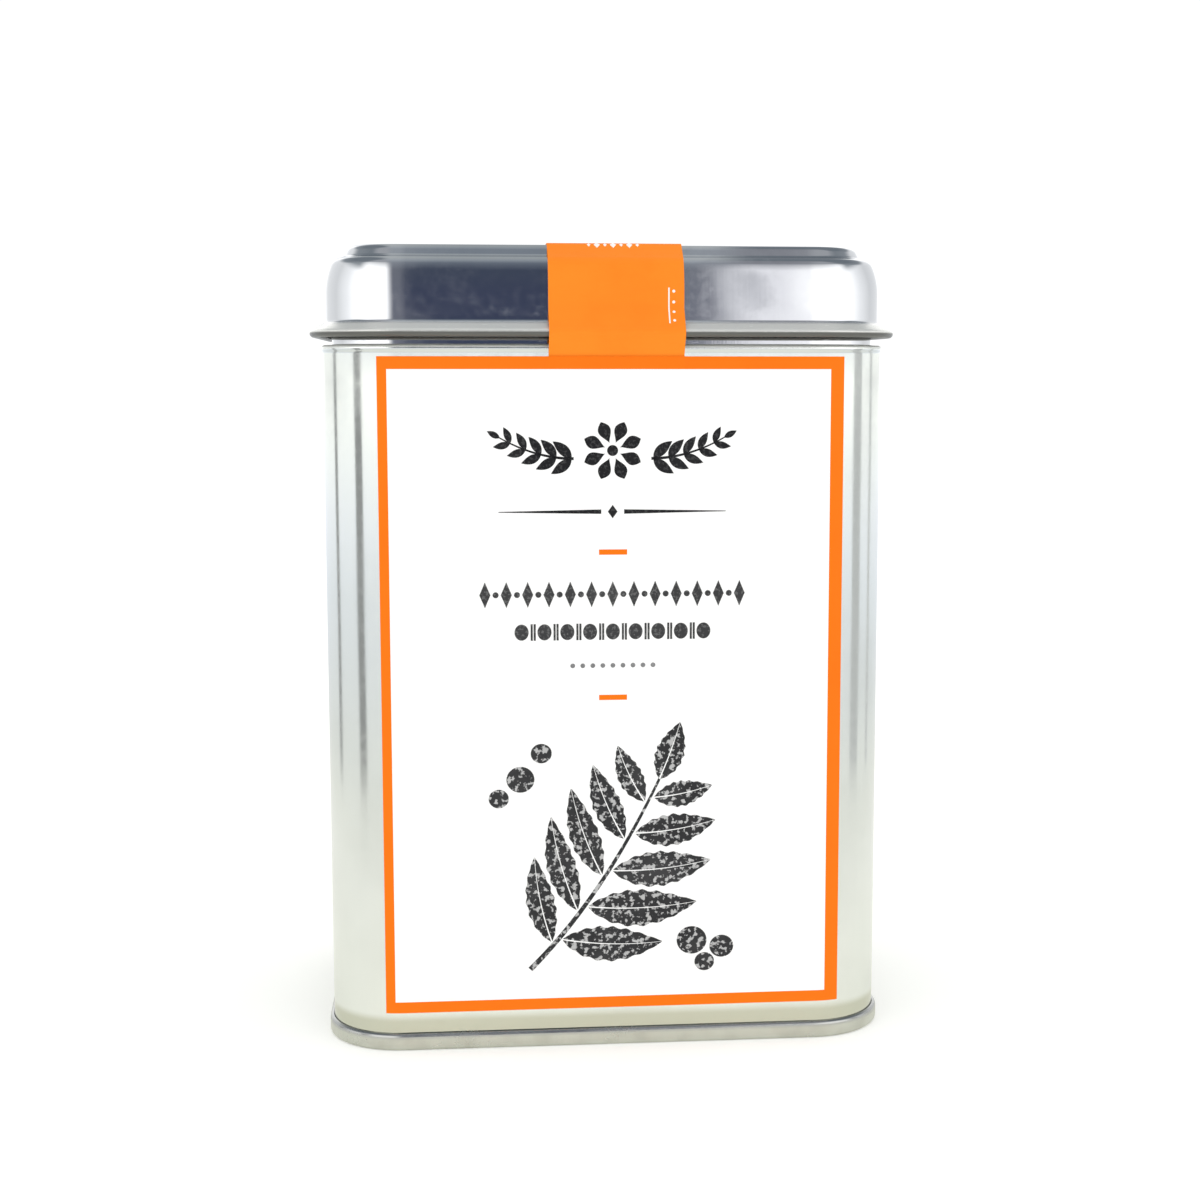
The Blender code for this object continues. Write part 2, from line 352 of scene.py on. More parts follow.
@dataclass(frozen=True)
class Tinplate:
    """Bright tinplate with faint upright rolling lines, rub marks and small scratches."""

    name: str
    colour: Triple
    dull_colour: Triple
    roughness: float
    rough_spread: float
    line_bump: float
    ripple_bump: float
    bands: tuple[HeightBand, ...] = ()
    cloud_scale: float = 70.0
    fine_scale: float = 900.0
    blot_scale: float = 400.0
    line_scale: Triple = (260.0, 3.0, 1.0)
    hair_scale: Triple = (40.0, 900.0, 1.0)
    hair_turn: Triple = (0.0, 0.0, 0.35)
    ripple_scale: Triple = (9.0, 5.0, 1.0)
    streak: float = 0.22
    scratch_rough: float = 0.05

    def material(self) -> bpy.types.Material:
        """Build the material: colour, roughness and bump each read several sizes of noise.

        Returns:
            The new material.
        """
        n = NodeTree.paint(self.name)
        coordinates = n.add("TexCoord")
        place = coordinates.outputs["Object"]
        sheet = coordinates.outputs["UV"]
        cloud = n.noise(place, self.cloud_scale, 4.0, 0.55)
        fine = n.noise(place, self.fine_scale, 3.0, 0.6)
        lines = n.noise(n.mapping(sheet, self.line_scale), 1.0, 4.0, 0.65)
        hairs = n.noise(n.mapping(sheet, self.hair_scale, self.hair_turn), 1.0, 2.0)
        scratch = n.step(hairs, 0.69, 0.74)
        colour = n.mix(n.step(cloud, 0.42, 0.68), self.colour, self.dull_colour)
        colour = n.mix(n.step(lines, 0.35, 0.7, 0.0, self.streak), colour, self.dull_colour)
        rough = n.step(cloud, 0.3, 0.7, self.roughness, self.roughness + self.rough_spread)
        rough = n.plus(rough, n.step(fine, 0.3, 0.75, -0.02, 0.03), n.times(scratch, self.scratch_rough))
        # Bands by height: real stains and dull metal, and also painted shade and painted highlights.
        level = n.add("SeparateXYZ", {"Vector": place}).outputs["Z"]
        metal = 1.0
        for band in self.bands:
            reach = n.step(level, band.gone, band.full)
            if band.blots:
                reach = n.times(reach, n.step(n.noise(place, self.blot_scale), 0.35, 0.75))
            colour = n.mix(n.times(reach, band.amount), colour, band.colour)
            rough = n.plus(rough, n.times(reach, band.rougher))
            if band.matt != 0.0:
                metal = n.math("SUBTRACT", metal, n.times(reach, band.matt))
        ripple = n.noise(n.mapping(sheet, self.ripple_scale), 1.0, 2.0, 0.4)
        height = n.plus(
            n.times(lines, self.line_bump), n.times(fine, 0.25 * self.line_bump),
            n.times(scratch, -0.6 * self.line_bump), n.times(ripple, self.ripple_bump))
        bump = n.add("Bump", {"Height": height, "Distance": MM, "Strength": 1.0})
        made = n.surface("BsdfPrincipled", {
            "Base Color": colour, "Metallic": metal, "Roughness": rough, "Normal": bump.outputs[0]})
        made.diffuse_color = (*self.colour, 1.0)
        return made


@dataclass(frozen=True)
class Paper:
    """Coated paper or a printed ink film on it, with fibres, clouding and speckle."""

    name: str
    colour: Triple
    shade: Triple
    roughness: float = 0.5
    speckle: float = 0.0
    speckle_scale: float = 2600.0
    gloss: float = 0.12
    fibre_bump: float = 0.006
    cloud_scale: float = 160.0
    fibre_scale: Triple = (2200.0, 2200.0, 900.0)
    crossing_scale: Triple = (700.0, 2200.0, 2400.0)
    fleck_colour: Triple = (0.62, 0.62, 0.62)

    def material(self) -> bpy.types.Material:
        """Build the material: paper fibres in the bump, clouding and speckle in the colour.

        Returns:
            The new material.
        """
        n = NodeTree.paint(self.name)
        place = n.add("TexCoord").outputs["Object"]
        cloud = n.noise(place, self.cloud_scale, 4.0, 0.6)
        fibre = n.noise(n.mapping(place, self.fibre_scale), 1.0, 5.0, 0.7)
        crossing = n.noise(n.mapping(place, self.crossing_scale, (0.0, 0.5, 0.0)), 1.0, 4.0, 0.6)
        colour = n.mix(n.step(cloud, 0.4, 0.8, 0.0, 0.5), self.colour, self.shade)
        if self.speckle > 0.0:
            grain = n.noise(place, self.speckle_scale, 2.0, 0.6)
            colour = n.mix(n.step(grain, 0.52, 0.6, 0.0, self.speckle), colour, self.fleck_colour)
        rough = n.step(fibre, 0.3, 0.7, self.roughness - 0.05, self.roughness + 0.08)
        bump = n.add("Bump", {"Height": n.plus(fibre, crossing), "Distance": self.fibre_bump * MM,
                              "Strength": 1.0})
        made = n.surface("BsdfPrincipled", {
            "Base Color": colour, "Roughness": rough, "Normal": bump.outputs[0],
            "Specular IOR Level": self.gloss})
        made.diffuse_color = (*self.colour, 1.0)
        return made


LIT_SHOULDER = HeightBand(0.08084, 0.08070, (0.86, 0.88, 0.84), 1.0, 0.22, 0.55)
BRIGHT_NECK = HeightBand(0.0812, 0.0810, (0.77, 0.78, 0.795), 1.0, -0.31, -0.55)
# Painted shade: the wall turns darker and yellower towards the foot, below the label.
PAINTED_SHADE_LOW_WALL = HeightBand(0.0032, 0.0043, (0.60, 0.605, 0.50), 0.95)
BODY_FINISH = Tinplate("bright_body_tinplate", (0.84, 0.86, 0.815), (0.79, 0.81, 0.765), 0.12, 0.05,
                       0.0014, 0.020, (LIT_SHOULDER, BRIGHT_NECK, PAINTED_SHADE_LOW_WALL))
SEAM_STAIN = HeightBand(0.0013, 0.0035, (0.42, 0.41, 0.36), 0.35, blots=True)
# Painted shade: the top of the seam ring is darkened for the shadowed groove between wall and ring.
PAINTED_SEAM_SHADE = HeightBand(0.0016, 0.00122, (0.47, 0.475, 0.465), 0.88)
FOOT_FINISH = Tinplate("foot_seam_tinplate", (0.64, 0.65, 0.595), (0.57, 0.58, 0.52), 0.20, 0.10,
                       0.0022, 0.012, (SEAM_STAIN, PAINTED_SEAM_SHADE))
# A dull, rougher, part-matt rim; its lighter colour is partly a painted soft highlight.
DULL_RIM_AND_SHEEN = HeightBand(0.0833, 0.0838, (0.88, 0.88, 0.83), 0.9, 0.16, 0.45)
# Painted shade: the lower half of the rim's bead is nearly black, as the shade under the rim.
PAINTED_SHADE_UNDER_RIM = HeightBand(0.08238, 0.08262, (0.085, 0.085, 0.075), 0.95, 0.10, 0.2)
LID_FINISH = Tinplate("polished_lid_tinplate", (0.77, 0.78, 0.795), (0.72, 0.73, 0.75), 0.055, 0.012,
                      0.0002, 0.004, (DULL_RIM_AND_SHEEN, PAINTED_SHADE_UNDER_RIM))
LABEL_WHITE = Paper("label_white_paper", (0.96, 0.96, 0.955), (0.93, 0.93, 0.925), 0.48, gloss=0.3)
LABEL_ORANGE = Paper("label_orange_ink", (0.95, 0.185, 0.004), (0.91, 0.165, 0.003), 0.46)
SEAL_ORANGE = Paper("seal_orange_paper", (0.97, 0.255, 0.016), (0.93, 0.215, 0.010), 0.42)
BLACK_INK = Paper("label_black_ink", (0.012, 0.012, 0.014), (0.03, 0.03, 0.032), 0.42, 0.05)
GREY_INK = Paper("label_grey_ink", (0.045, 0.045, 0.047), (0.075, 0.075, 0.077), 0.45, 0.12)
PALE_INK = Paper("label_pale_grey_ink", (0.20, 0.20, 0.205), (0.27, 0.27, 0.275), 0.45, 0.15)
ENGRAVED_INK = Paper("label_engraved_ink", (0.030, 0.030, 0.032), (0.085, 0.085, 0.087), 0.45,
                     0.75, 1500.0)
WHITE_INK = Paper("seal_white_ink", (0.93, 0.92, 0.90), (0.90, 0.84, 0.78), 0.45)


# Tinplate pieces


@dataclass(frozen=True)
class Plan:
    """The rounded rectangle that every tinplate piece follows, seen from above."""

    width: float = 0.0650
    depth: float = 0.0450
    radius: float = 0.0085
    corner_steps: int = 22
    spacing: float = 0.0013
    lap_width: float = 0.0034
    lap_slope: float = 0.0003

    def straight(self, half: float) -> np.ndarray:
        """Evenly spaced places along a straight side, without its last end."""
        count = int(round(2.0 * half / self.spacing))
        return np.linspace(-half, half, count + 1)[:-1]

    def back_places(self, half: float) -> np.ndarray:
        """Places along half of the back, from its middle out, closer together on the lap's slope."""
        edge, foot = self.lap_width / 2.0, self.lap_width / 2.0 + self.lap_slope
        return runs((0.0, edge, 5), (edge, foot, 5), (foot, half, 18))[:-1]

    def ring(self) -> tuple[np.ndarray, np.ndarray, np.ndarray]:
        """Trace the plan counter-clockwise from the middle of the back.

        Each side is a straight line, and each corner a quarter circle: corner centre +
        radius * (cos a, sin a).  The normal is (cos a, sin a), constant along a side.

        Returns:
            Points, outward normals and distances along the plan; distances have one more
            entry, the whole length round.
        """
        half_x, half_y = self.width / 2.0, self.depth / 2.0
        flat_x, flat_y = half_x - self.radius, half_y - self.radius
        back = self.back_places(flat_x)
        side = self.straight(flat_y)
        points = []
        normals = []

        def add_side(x: np.ndarray | float, y: np.ndarray | float, normal: Pair) -> None:
            """Add a straight side with one normal."""
            points.append(np.stack(np.broadcast_arrays(x, y), -1))
            normals.append(np.broadcast_to(normal, (len(points[-1]), 2)))

        def add_corner(side_x: int, side_y: int, start: float) -> None:
            """Add a corner's quarter circle from a start angle."""
            normals.append(arc((0.0, 0.0), 1.0, start, start + 90.0, self.corner_steps)[:-1])
            points.append(np.array((side_x * flat_x, side_y * flat_y)) + self.radius * normals[-1])

        add_side(-back, half_y, (0.0, 1.0))
        add_corner(-1, 1, 90.0)
        add_side(-half_x, -side, (-1.0, 0.0))
        add_corner(-1, -1, 180.0)
        add_side(self.straight(flat_x), -half_y, (0.0, -1.0))
        add_corner(1, -1, 270.0)
        add_side(half_x, side, (1.0, 0.0))
        add_corner(1, 1, 0.0)
        add_side(np.concatenate(((flat_x,), back[::-1][:-1])), half_y, (0.0, 1.0))
        outline = np.concatenate(points)
        closed = np.concatenate((outline, outline[:1]))
        along = np.concatenate(((0.0,), np.cumsum(np.linalg.norm(np.diff(closed, axis=0), axis=1))))
        return outline, np.concatenate(normals), along

    def lap(self, points: np.ndarray, proud: float) -> np.ndarray:
        """Height of the back seam over the wall: flat on top, and a smooth fall at each side.

        Args:
            points: The ring's points.
            proud: How far the seam stands out.

        Returns:
            The seam's height at each point.
        """
        edge = self.lap_width / 2.0
        fall = 1.0 - smoothstep(np.abs(points[:, 0]), edge, edge + self.lap_slope)
        return np.where(points[:, 1] > self.depth / 2.0 - 1e-6, proud * fall, 0.0)


PLAN = Plan()


@dataclass
class PressedPiece:
    """A tinplate piece: a section of (proud, height) points carried round the plan.

    The wall's slow ripple fades in and out over the four heights of fade.  The flat panels
    that close a section's ends are rows of its end ring, scaled from the first of
    panel_scales to the second and then to nothing; a closed section has none.
    """

    name: str
    node: str
    slot: Slot
    finish: Tinplate
    sheet: float = 0.0003
    ripple: float = 0.0
    fade: tuple[float, float, float, float] = (0.0, 1.0, 2.0, 3.0)
    panel_scales: tuple[float, float, int] | None = None

    def section(self) -> np.ndarray:
        """The piece's section, with open air on the right of travel."""
        raise NotImplementedError

    def panel_lift(self, s: np.ndarray) -> np.ndarray:
        """How far the panel's rows stand above its edge."""
        return np.zeros_like(s)

    def relief(self, points: np.ndarray, along: np.ndarray, height: np.ndarray) -> np.ndarray:
        """How far each vertex stands out beyond the section: a sum of sines along the wall and up it.

        Args:
            points: The plan's points; not used here.
            along: Distance round the plan for each column.
            height: Height of each row.

        Returns:
            Rows by columns of displacement.
        """
        s = along[None, :]
        z = height[:, None]
        wave = 0.45 * np.sin(s * 410.0 + 1.3 + 0.6 * np.sin(z * 300.0))
        wave += 0.30 * np.sin(s * 730.0 + z * 210.0 + 0.4)
        wave += 0.25 * np.sin(s * 190.0 - z * 150.0 + 2.1)
        low, low_full, high_full, high = self.fade
        return smoothstep(z, low, low_full) * (1.0 - smoothstep(z, high_full, high)) * self.ripple * wave

    def panel(self, ring: np.ndarray) -> np.ndarray:
        """Shrink a ring to a point in rows: s * ring, at the ring's height + panel_lift(s).

        Args:
            ring: The ring at the panel's edge.

        Returns:
            Rows from the edge to the middle; none for a closed section.
        """
        if self.panel_scales is None:
            return np.zeros((0, *ring.shape))
        s = np.concatenate((np.linspace(*self.panel_scales), (0.0,)))
        rows = np.repeat(ring[None], len(s), 0)
        rows[..., :2] *= s[:, None, None]
        rows[..., 2] += self.panel_lift(s)[:, None]
        return rows

    def build(self) -> bpy.types.Object:
        """Carry the section round the plan: point = plan + (proud + relief) * normal.

        Returns:
            The finished piece, riding on the tin.
        """
        section = self.section()
        points, normals, along = PLAN.ring()
        proud = section[:, :1] + self.relief(points, along[:-1], section[:, 1])
        flat = points[None] + proud[..., None] * normals[None]
        rows = np.concatenate((flat, np.broadcast_to(section[:, 1, None, None], (*proud.shape, 1))), -1)
        rows = np.concatenate((self.panel(rows[0])[::-1], rows, self.panel(rows[-1])))
        closed = self.panel_scales is None
        count = len(points)
        quads = grid_quads(len(rows), count, closed, True)
        steps = np.linalg.norm(np.diff(rows[:, count // 2], axis=0, append=rows[:1, count // 2]), axis=1)
        across = np.concatenate(((0.0,), np.cumsum(steps)))
        row = quads[:, 0] // count
        column = quads[:, 0] % count
        u = np.stack((along[column], along[column + 1], along[column + 1], along[column]), -1)
        v = np.stack((across[row], across[row], across[row + 1], across[row + 1]), -1)
        uv = np.stack((u, v), -1) * UV_PER_METRE
        piece = make_piece(self.name, rows.reshape(-1, 3), quads, uv.reshape(-1, 2))
        if not closed:
            weld(piece)
        piece.data.materials.append(self.finish.material())
        return settle(piece, self.node)


@dataclass
class BodyShell(PressedPiece):
    """The body: straight wall, flared shoulder, neck, inward hem and the lap seam behind."""

    ripple: float = 0.000012
    fade: tuple[float, float, float, float] = (0.008, 0.020, 0.066, 0.077)
    foot: float = 0.0011
    seam_top: float = 0.0026
    flare_start: float = 0.0801
    flare_top: float = 0.08065
    flare_proud: float = 0.00012
    shoulder_radius: float = 0.0004
    neck_inset: float = 0.0011
    neck_fillet: float = 0.0001
    hem_height: float = 0.08805
    hem_radius: float = 0.00085
    hem_end: float = 245.0
    lap_proud: float = 0.00025
    lap_run_in: float = 0.0006
    lap_run_out: float = 0.0003

    def section(self) -> np.ndarray:
        """Wall, flare as a smooth step, quarter-circle shoulder, ledge, neck and hem.

        The inside is the same line, one sheet further in.

        Returns:
            The closed section.
        """
        wall = np.linspace(self.seam_top + 0.0003, self.flare_start, 26)
        flare = np.linspace(self.flare_start, self.flare_top, 8)[1:-1]
        wall = np.concatenate(((self.foot, self.seam_top), wall, flare))
        proud = self.flare_proud * smoothstep(wall, self.flare_start, self.flare_top)
        radius = self.shoulder_radius
        shoulder = arc((self.flare_proud - radius, self.flare_top), radius, 0.0, 90.0, 9)
        fillet = self.neck_fillet
        neck = arc((fillet - self.neck_inset, self.flare_top + radius + fillet), fillet, 270.0, 180.0, 5)
        hem_centre = (-self.neck_inset - self.hem_radius, self.hem_height)
        hem = arc(hem_centre, self.hem_radius, 0.0, self.hem_end, 20)
        outside = np.concatenate((np.stack((proud, wall), -1), shoulder, neck, hem))
        return np.concatenate((outside, offset_line(outside, -self.sheet)[::-1]))

    def relief(self, points: np.ndarray, along: np.ndarray, height: np.ndarray) -> np.ndarray:
        """The wall's ripple and the lap seam, which fades out at the foot and the shoulder.

        Args:
            points: The plan's points.
            along: Distance round the plan for each column.
            height: Height of each row.

        Returns:
            Rows by columns of displacement.
        """
        on_wall = smoothstep(height, self.seam_top, self.seam_top + self.lap_run_in)
        on_wall *= 1.0 - smoothstep(height, self.flare_start, self.flare_start + self.lap_run_out)
        lap = on_wall[:, None] * PLAN.lap(points, self.lap_proud)
        return lap + super().relief(points, along, height)


@dataclass
class FootRing(PressedPiece):
    """The foot: a rounded seam ring with a slot for the wall's edge, and a recessed panel."""

    panel_scales: tuple[float, float, int] | None = (0.95, 0.1, 18)
    seam_proud: float = 0.0005
    seam_height: float = 0.0020
    edge_radius: float = 0.00045
    inner_inset: float = 0.0012
    inner_radius: float = 0.00035
    slot_clearance: float = 0.00006
    slot_floor: float = 0.0008
    panel_height: float = 0.0019
    panel_step: float = 0.0005
    panel_step_inset: float = 0.0050
    step_radii: Pair = (0.00025, 0.0003)
    bead_rise: float = 0.00025
    bead_middle: float = 0.70
    bead_half: float = 0.10

    def section(self) -> np.ndarray:
        """From under the panel, down inside the ring, round it, and over its top to the panel.

        Returns:
            The open section, whose two ends are filled with panels.
        """
        low, high = self.step_radii
        step_in = -self.panel_step_inset
        step_out = step_in - self.panel_step
        inner = -self.inner_inset
        small = self.inner_radius
        radius = self.edge_radius
        outer = self.seam_proud - radius
        hook = -2.0 * self.sheet - self.slot_clearance
        top = self.panel_height + self.sheet
        return np.concatenate((
            arc((step_out, self.panel_height - self.panel_step - low), low, 90, 45, 3),
            arc((step_in + 0.0001, self.panel_height - high), high, 135, 90, 3),
            arc((inner - small, self.panel_height - small), small, 90, 0, 5),
            arc((inner + small, small), small, 180, 270, 5),
            arc((outer, radius), radius, 270, 360, 7),
            arc((outer, self.seam_height - radius), radius, 0, 90, 7)[:-1],
            np.array((
                (self.slot_clearance, self.seam_height), (self.slot_clearance, self.slot_floor),
                (hook + self.sheet, self.slot_floor), (hook + self.sheet, self.seam_height),
                (hook, self.seam_height), (hook, top), (step_in, top), (step_out, top - self.panel_step),
            )),
        ))

    def panel_lift(self, s: np.ndarray) -> np.ndarray:
        """One shallow bead pressed round the middle: a cosine bump about bead_middle."""
        away = (s - self.bead_middle) / self.bead_half
        return self.bead_rise * np.where(np.abs(away) < 1.0, 0.5 + 0.5 * np.cos(away * math.pi), 0.0)


@dataclass
class LidShell(PressedPiece):
    """The lid: raised plateau, groove, sloping shoulder, leaning wall and a rolled rim."""

    ripple: float = 0.000020
    fade: tuple[float, float, float, float] = (0.0841, 0.0856, 0.0885, 0.0903)
    panel_scales: tuple[float, float, int] | None = (0.97, 0.05, 24)
    top: float = 0.0923
    top_sink: float = 0.00003
    wall_inset: float = 0.00038
    plateau_inset: float = 0.0028
    plateau_radius: float = 0.0011
    side_deg: float = 27.0
    groove_radius: float = 0.0004
    lean_start: float = 0.0868
    lean_radius: float = 0.0088
    lean_deg: float = 22.0
    shoulder_radius: float = 0.0013
    slope_deg: float = 16.0
    flare_radius: float = 0.0006
    flare_deg: float = 62.0
    bead_radius: float = 0.0005
    bead_proud: float = 0.00092
    bead_height: float = 0.0824
    bead_end: float = -150.0

    def centres(self) -> tuple[Pair, ...]:
        """Centres of the plateau's edge, the shoulder and the leaning wall.

        Returns:
            Three points of (proud, height).
        """
        plateau = (-self.plateau_inset - self.plateau_radius, self.top - self.plateau_radius)
        lean = (-self.wall_inset - self.lean_radius, self.lean_start)
        turn = math.radians(self.lean_deg)
        inwards = self.lean_radius - self.shoulder_radius
        return plateau, (lean[0] + inwards * math.cos(turn), lean[1] + inwards * math.sin(turn)), lean

    def flare_start(self) -> float:
        """Find where the wall starts to flare, so that its slope runs into the bead.

        Returns:
            The height over the floor.
        """
        turn = math.radians(self.flare_deg)
        bead_across = self.bead_proud + self.bead_radius * math.cos(turn)
        flare_across = -self.wall_inset + self.flare_radius * (1.0 - math.cos(turn))
        rise = (bead_across - flare_across) / math.tan(turn)
        return self.bead_height + rise + (self.bead_radius + self.flare_radius) * math.sin(turn)

    def groove(self, start: np.ndarray, shoulder: np.ndarray) -> np.ndarray:
        """The foot of the plateau's slanted side: a hollow arc that runs into the slope.

        The side goes straight down from the plateau's edge at its own angle, as far as the
        arc needs in order to end on the slope, which rises from the shoulder.

        Args:
            start: Where the plateau's rounded edge ends.
            shoulder: Where the shoulder begins.

        Returns:
            Points of the arc.
        """
        side = math.radians(self.side_deg)
        slope = math.radians(90.0 - self.slope_deg)
        fall = math.tan(math.radians(self.slope_deg))
        across = self.groove_radius * (math.cos(side) - math.cos(slope))
        down = self.groove_radius * (math.sin(slope) - math.sin(side))
        level = shoulder[1] + (shoulder[0] - start[0] - across) * fall
        length = (start[1] - down - level) / (math.cos(side) - math.sin(side) * fall)
        foot = start + length * np.array((math.sin(side), -math.cos(side)))
        centre = foot + self.groove_radius * np.array((math.cos(side), math.sin(side)))
        return arc(tuple(centre), self.groove_radius, self.side_deg - 180.0, -90.0 - self.slope_deg, 10)

    def section(self) -> np.ndarray:
        """The inner line outwards, then the outer line back to the plateau.

        The outer line runs over the plateau's edge, groove, slope, shoulder and leaning wall,
        through the hollow flare and a straight slope, and round the bead to its raw edge.

        Returns:
            The open section, whose two ends are filled with panels.
        """
        plateau_centre, shoulder_centre, lean_centre = self.centres()
        plateau = arc(plateau_centre, self.plateau_radius, 90, self.side_deg, 12)
        shoulder = arc(shoulder_centre, self.shoulder_radius, 90 - self.slope_deg, self.lean_deg, 12)
        groove = self.groove(plateau[-1], shoulder[0])
        slope = np.linspace(groove[-1], shoulder[0], 5)[1:-1]
        lean = arc(lean_centre, self.lean_radius, self.lean_deg, 0, 12)[1:]
        height = np.linspace(self.lean_start, self.flare_start(), 12)[1:-1]
        wall = np.stack((np.full_like(height, -self.wall_inset), height), -1)
        flare_centre = (-self.wall_inset + self.flare_radius, self.flare_start())
        flare = arc(flare_centre, self.flare_radius, 180.0, 180.0 + self.flare_deg, 8)
        bead_centre = (self.bead_proud, self.bead_height)
        bead = arc(bead_centre, self.bead_radius, self.flare_deg, self.bead_end, 26)
        outside = np.concatenate((plateau, groove, slope, shoulder, lean, wall, flare, bead))
        return np.concatenate((offset_line(outside, self.sheet), outside[::-1]))

    def panel_lift(self, s: np.ndarray) -> np.ndarray:
        """The top sinks a very little towards its middle, by a smooth step."""
        return -self.top_sink * smoothstep(1.0 - s, 0.05, 0.45)


# Paper pieces


@dataclass
class FrontLabel:
    """The white label with its orange printed border, wrapped a little round both corners."""

    left: float = -0.02605
    right: float = 0.02675
    bottom: float = 0.0044
    top: float = 0.07975
    paper: float = 0.00013
    proud: float = 0.00004
    border_left: float = 0.0011
    border_right: float = 0.0016
    border_top: float = 0.00143
    border_bottom: float = 0.0013
    tail_left: float = -0.0069
    tail_right: float = 0.0084
    tail_end: float = 0.0774
    tail_lift: float = 0.00016
    tail_soft: float = 0.0005
    cockle: float = 0.000006

    def lift(self, u: np.ndarray, z: np.ndarray) -> np.ndarray:
        """Height of the paper over the wall: flat, with the strip's tail showing through.

        The tail is a product of smooth steps across and up; faint cockles are sines.

        Args:
            u: Distance along the wall from the tin's middle.
            z: Height.

        Returns:
            The front surface's distance from the wall.
        """
        tail = smoothstep(u, self.tail_left - self.tail_soft, self.tail_left)
        tail = tail * (1.0 - smoothstep(u, self.tail_right, self.tail_right + self.tail_soft))
        tail = tail * smoothstep(z, self.tail_end - self.tail_soft, self.tail_end)
        cockle = np.sin(u * 230.0 + z * 90.0) * np.sin(z * 170.0 + 0.7) * self.cockle
        return self.proud + self.paper + self.tail_lift * tail + cockle

    def place(self, u: np.ndarray, z: np.ndarray, over: float) -> np.ndarray:
        """Lay (u, z) on the label: flat in the middle, a circle about each corner's centre.

        Args:
            u: Distance along the wall from the tin's middle.
            z: Height.
            over: Distance out of the paper's front.

        Returns:
            Positions in space.
        """
        flat = PLAN.width / 2.0 - PLAN.radius
        angle = np.maximum(np.abs(u) - flat, 0.0) / PLAN.radius
        radius = PLAN.radius + self.lift(u, z) + over
        x = np.sign(u) * (np.minimum(np.abs(u), flat) + radius * np.sin(angle))
        return np.stack((x, PLAN.radius - PLAN.depth / 2.0 - radius * np.cos(angle), z), -1)

    def lay(self, shape: np.ndarray, over: float) -> np.ndarray:
        """Lay a printed shape in millimetres over the paper."""
        return self.place(shape[..., 0] * MM, shape[..., 1] * MM, over)

    def build(self) -> bpy.types.Object:
        """Make the label as a closed sheet whose grid has lines along the border's inner edge.

        Returns:
            The finished label.
        """
        inner_left, inner_right = self.left + self.border_left, self.right - self.border_right
        inner_low, inner_high = self.bottom + self.border_bottom, self.top - self.border_top
        u = runs((self.left, inner_left, 4), (inner_left, -0.0080, 20), (-0.0080, -0.0064, 9),
                 (-0.0064, 0.0080, 14), (0.0080, 0.0096, 9), (0.0096, inner_right, 20),
                 (inner_right, self.right, 5))
        z = runs((self.bottom, inner_low, 4), (inner_low, 0.0766, 64), (0.0766, 0.0780, 8),
                 (0.0780, inner_high, 3), (inner_high, self.top, 5))
        grid_u, grid_z = np.meshgrid(u, z)
        piece = make_sheet("front_label", self.place(grid_u, grid_z, 0.0),
                           self.place(grid_u, grid_z, -self.paper))
        piece.data.materials.append(LABEL_WHITE.material())
        piece.data.materials.append(LABEL_ORANGE.material())
        middle_u = (u[:-1] + u[1:])[None, :] / 2.0
        middle_z = (z[:-1] + z[1:])[:, None] / 2.0
        inside = (middle_u > inner_left) & (middle_u < inner_right)
        inside = inside & (middle_z > inner_low) & (middle_z < inner_high)
        index = np.zeros(len(piece.data.polygons), np.int32)
        index[: inside.size] = np.where(inside, 0, 1).ravel()
        piece.data.polygons.foreach_set("material_index", index)
        return settle(piece, "label")


